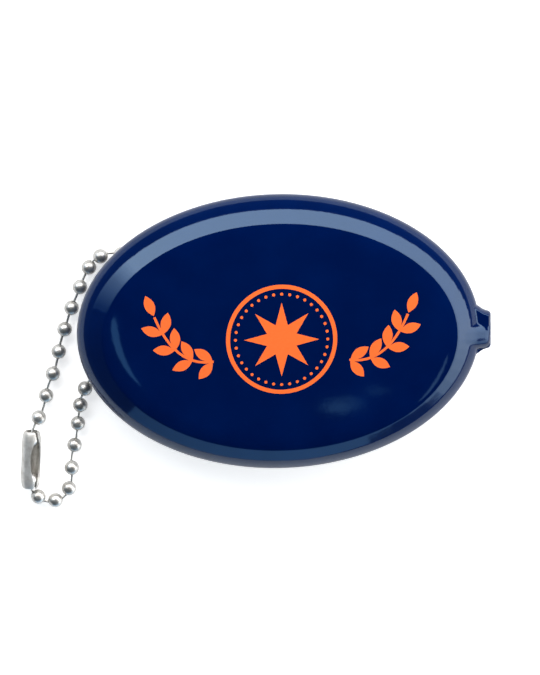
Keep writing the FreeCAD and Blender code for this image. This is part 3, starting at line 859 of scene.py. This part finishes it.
def connectorBarrel():
    look = barrel
    first, last = beadCentre(1), beadCentre(beadCount)
    along = (last - first).normalized()
    turn = math.radians(look["seamTurn"])
    out = Vector((math.sin(turn), 0, math.cos(turn)))
    out = (out - along * out.dot(along)).normalized()
    side = along.cross(out)
    middle = (first + last) / 2
    half = look["length"] / 2
    stations = [-half * math.cos(t) for t in np.linspace(0, math.pi, look["rows"])]
    n, m = look["columns"], look["rows"]

    def skin(inset):
        rows = []
        for u in stations:
            drawn = max(0.0, abs(u) - half + look["taper"]) / look["taper"]
            drawIn = (1 - math.sqrt(1 - look["drawRound"] * drawn ** 2)) / look["drawFull"]
            bore = look["boreRadius"] - (look["boreRadius"] - look["mouthRadius"]) * drawIn
            radius = bore + look["wall"] - inset
            bulge = max(0.0, 1 - (u / look["windowReach"]) ** 2)
            gap = look["seam"] + (look["window"] - look["seam"]) * bulge
            openTurn = math.asin(gap / (radius + inset))
            row = []
            for t in np.linspace(openTurn, 2 * math.pi - openTurn, n):
                row.append(middle + along * u * mm + (out * math.cos(t) + side * math.sin(t)) * radius * mm)
            rows.append(row)
        return rows

    outside, inside = skin(0.0), skin(look["wall"])
    points = [q for row in outside for q in row] + [q for row in inside for q in row]
    base = n * m
    faces = ringFaces(m, n, closed=False)
    faces += [tuple(base + v for v in reversed(f)) for f in faces]
    for i in range(m - 1):
        for j, flip in ((0, False), (n - 1, True)):
            edge = [i * n + j, (i + 1) * n + j, base + (i + 1) * n + j, base + i * n + j]
            faces.append(tuple(edge if flip else edge[::-1]))
    for j in range(n - 1):
        for i, flip in ((0, True), (m - 1, False)):
            edge = [i * n + j, i * n + j + 1, base + i * n + j + 1, base + i * n + j]
            faces.append(tuple(edge if flip else edge[::-1]))
    piece = meshPiece("connectorBarrel", points, faces, nickelStrip)
    tidyMesh(piece)
    softened = piece.modifiers.new("edges", "BEVEL")
    softened.width, softened.segments, softened.limit_method = look["edgeRadius"] * mm, 2, "ANGLE"
    softened.angle_limit = math.radians(look["crease"])
    bakeModifiers(piece)
    piece.data.set_sharp_from_angle(angle=math.radians(look["crease"]))
    return piece


connector = connectorBarrel()
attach(connector, "connector")
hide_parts("connector")
print("connector rolled:", len(connector.data.polygons), "faces")


# Camera, at the photograph's angle

view = dict(
    tilt=12.0, lean=4.0, distance=700.0,               # degrees off the upright, mm
    pixelsPerMm=5.114,
    centre=(279.0, 332.0), size=(540.0, 675.0),        # the purse's middle and the picture, in pixels
)


def addCamera():
    v = view
    tilt, lean = math.radians(v["tilt"]), math.radians(v["lean"])
    away = Vector((-math.tan(lean), math.tan(tilt), 1)).normalized()
    right = Vector((0, 1, 0)).cross(away).normalized()
    turn = Matrix((right, away.cross(right), away)).transposed().to_quaternion()
    acrossMm = (v["size"][0] / 2 - v["centre"][0]) / v["pixelsPerMm"]
    upMm = (v["centre"][1] - v["size"][1] / 2) / v["pixelsPerMm"]
    target = Vector((0, 0, purse["middle"])) + turn @ Vector((acrossMm, upMm, 0))
    data = bpy.data.cameras.new("camera")
    data.sensor_width = 36.0
    data.lens = data.sensor_width * v["distance"] / (v["size"][1] / v["pixelsPerMm"])
    data.clip_start = 0.01
    camera = bpy.data.objects.new("camera", data)
    camera.location = (target + away * v["distance"]) * mm
    camera.rotation_mode = "QUATERNION"
    camera.rotation_quaternion = turn
    bpy.context.scene.collection.objects.link(camera)
    bpy.context.scene.camera = camera


# Floor and light

stageLook = dict(
    floorSize=3.0, floorDrop=0.02,       # metres; mm under the purse
    colour="#F2F2F2", lift=0.6,          # glow that takes the floor to white in the picture
    mirrored=0.3,                        # share of that glow which reflections see
    skyTop=0.0, skyLow=0.16, skyRise=0.6, skyColour="#B4DCFF",
)


def addFloor():
    look = stageLook
    material, tree = newMaterial("paleFloor")
    diffuse = addNode(tree, "ShaderNodeBsdfDiffuse", {"Color": linear(look["colour"])})
    glow = addNode(tree, "ShaderNodeEmission", {"Color": (1, 1, 1, 1), "Strength": look["lift"]})
    path = addNode(tree, "ShaderNodeLightPath")
    shine = addNode(tree, "ShaderNodeMath", {1: look["mirrored"]}, {0: (path, "Is Glossy Ray")},
                    operation="MULTIPLY")
    seen = addNode(tree, "ShaderNodeMath", links={0: (path, "Is Camera Ray"), 1: (shine, 0)},
                   operation="MAXIMUM")
    lifted = addNode(tree, "ShaderNodeAddShader", links={0: (diffuse, 0), 1: (glow, 0)})
    mixed = addNode(tree, "ShaderNodeMixShader", links={0: (seen, 0), 1: (diffuse, 0), 2: (lifted, 0)})
    addNode(tree, "ShaderNodeOutputMaterial", links={"Surface": (mixed, 0)})
    half = look["floorSize"] / 2
    low = -look["floorDrop"] * mm
    corners = [(-half, -half, low), (half, -half, low), (half, half, low), (-half, half, low)]
    floor = meshPiece("floor", corners, [(0, 1, 2, 3)], material)


# A curved softbox round the south, east and north, in upright strips that are narrower where it fades.
# Stations: azimuth, lowest and highest elevation in degrees, brightness, colour.
softWall = dict(away=0.9, step=6.0, fadeFrom=135.0, fadeStep=2.0, stations=(
    (-120.0, 1.0, 14.0, 0.9, "#92CEFF"), (-80.0, 0.5, 17.0, 1.3, "#92CEFF"),
    (-60.0, 5.0, 17.0, 1.2, "#A8DAFF"), (-40.0, 3.0, 24.0, 2.6, "#E8F6FF"),
    (-10.0, 4.0, 38.0, 4.2, "#FFFFFF"), (20.0, 14.5, 43.0, 4.8, "#FFFFFF"),
    (50.0, 21.0, 48.0, 5.6, "#FFFFFF"), (90.0, 24.5, 49.0, 6.2, "#FFFFFF"),
    (130.0, 22.5, 48.0, 6.6, "#FFFFFF"), (138.0, 20.0, 46.0, 6.6, "#FFFFFF"),
    (150.0, 18.0, 43.0, 2.6, "#E8F6FF"), (168.0, 14.0, 40.0, 0.5, "#A8DAFF"),
))

# Smaller lamps: azimuth, elevation, width, height and roll in degrees, brightness in a reflection, colour.
lamps = dict(
    westGlow=(-142.0, 69.5, 20.0, 5.0, 0.0, 1.3, "#A0DCFF"),
    lowSpot=(-68.0, 65.2, 3.6, 3.0, 0.0, 0.45, "#A0DCFF"),
    lowSpotCore=(-69.0, 65.0, 2.2, 1.8, 0.0, 0.5, "#B0E4FF"),
    lowSpotTwin=(-59.5, 66.0, 1.8, 1.6, 0.0, 0.4, "#A0DCFF"),
    sideSpot=(-44.0, 50.5, 17.0, 2.6, 41.0, 1.2, "#C8ECFF"),
    fill=(225.0, 50.0, 60.0, 40.0, 0.0, 0.6, "#FFFFFF"),
)


def placeLamp(name, shape, size, place, turn, bright, hue):
    # an area lamp that looks equally bright whatever its size
    data = bpy.data.lights.new(name, "AREA")
    data.shape = shape
    data.size, data.size_y = size
    data.color = hue
    data.energy = bright * math.pi * data.size * data.size_y
    light = bpy.data.objects.new(name, data)
    light.location = place
    light.rotation_mode = "QUATERNION"
    light.rotation_quaternion = turn
    light.visible_camera = False
    bpy.context.scene.collection.objects.link(light)
    return light


def addLamps():
    wall = softWall
    away = wall["away"]
    azimuths, lows, highs, brights, hexes = zip(*wall["stations"])
    hues = np.array([linear(colour)[:3] for colour in hexes])
    narrow = wall["fadeStep"]
    strips = [(a, wall["step"]) for a in np.arange(azimuths[0], wall["fadeFrom"], wall["step"])]
    fadeStart, fadeEnd = wall["fadeFrom"] + narrow / 2, azimuths[-1] + wall["step"] / 2
    strips += [(a, narrow) for a in np.arange(fadeStart, fadeEnd, narrow)]
    for number, (azimuth, span) in enumerate(strips):
        low = away * math.tan(math.radians(np.interp(azimuth, azimuths, lows)))
        high = away * math.tan(math.radians(np.interp(azimuth, azimuths, highs)))
        outward = Vector((math.cos(math.radians(azimuth)), math.sin(math.radians(azimuth)), 0))
        place = outward * away + Vector((0, 0, (low + high) / 2))
        hue = [np.interp(azimuth, azimuths, hues[:, channel]) for channel in range(3)]
        size = 2 * away * math.tan(math.radians(span / 2)), high - low
        placeLamp("softWall%02d" % number, "RECTANGLE", size, place, outward.to_track_quat("Z", "Y"),
                  np.interp(azimuth, azimuths, brights), hue)
    for name, (azimuth, elevation, wide, high, roll, bright, colour) in lamps.items():
        azimuth, elevation = math.radians(azimuth), math.radians(elevation)
        place = Vector((math.cos(azimuth) * math.cos(elevation), math.sin(azimuth) * math.cos(elevation),
                        math.sin(elevation))) * away
        size = [2 * away * math.tan(math.radians(spread / 2)) for spread in (wide, high)]
        turn = place.to_track_quat("Z", "Y") @ Quaternion((0, 0, 1), math.radians(roll))
        light = placeLamp(name, "ELLIPSE", size, place, turn, bright, linear(colour)[:3])
        light.visible_glossy = name != "fill"


def addSky():
    # dark ceiling, paler walls; white where the camera looks past the floor
    look = stageLook
    world = bpy.data.worlds.new("studio")
    world.use_nodes = True
    tree = world.node_tree
    tree.nodes.clear()
    coords = addNode(tree, "ShaderNodeTexCoord")
    split = addNode(tree, "ShaderNodeSeparateXYZ", links={0: (coords, "Generated")})
    level = addNode(tree, "ShaderNodeMapRange",
                    {"From Min": 0.0, "From Max": look["skyRise"],
                     "To Min": look["skyLow"], "To Max": look["skyTop"]}, {"Value": (split, "Z")})
    path = addNode(tree, "ShaderNodeLightPath")
    room = addNode(tree, "ShaderNodeBackground", {"Color": linear(look["skyColour"])},
                   {"Strength": (level, 0)})
    backdrop = addNode(tree, "ShaderNodeBackground", {"Color": (1, 1, 1, 1), "Strength": 1.0})
    mixed = addNode(tree, "ShaderNodeMixShader",
                    links={0: (path, "Is Camera Ray"), 1: (room, 0), 2: (backdrop, 0)})
    addNode(tree, "ShaderNodeOutputWorld", links={"Surface": (mixed, 0)})
    bpy.context.scene.world = world


addCamera()
addFloor()
addLamps()
addSky()
bpy.context.scene.view_settings.view_transform = "Standard"
print("camera, floor and lamps placed")
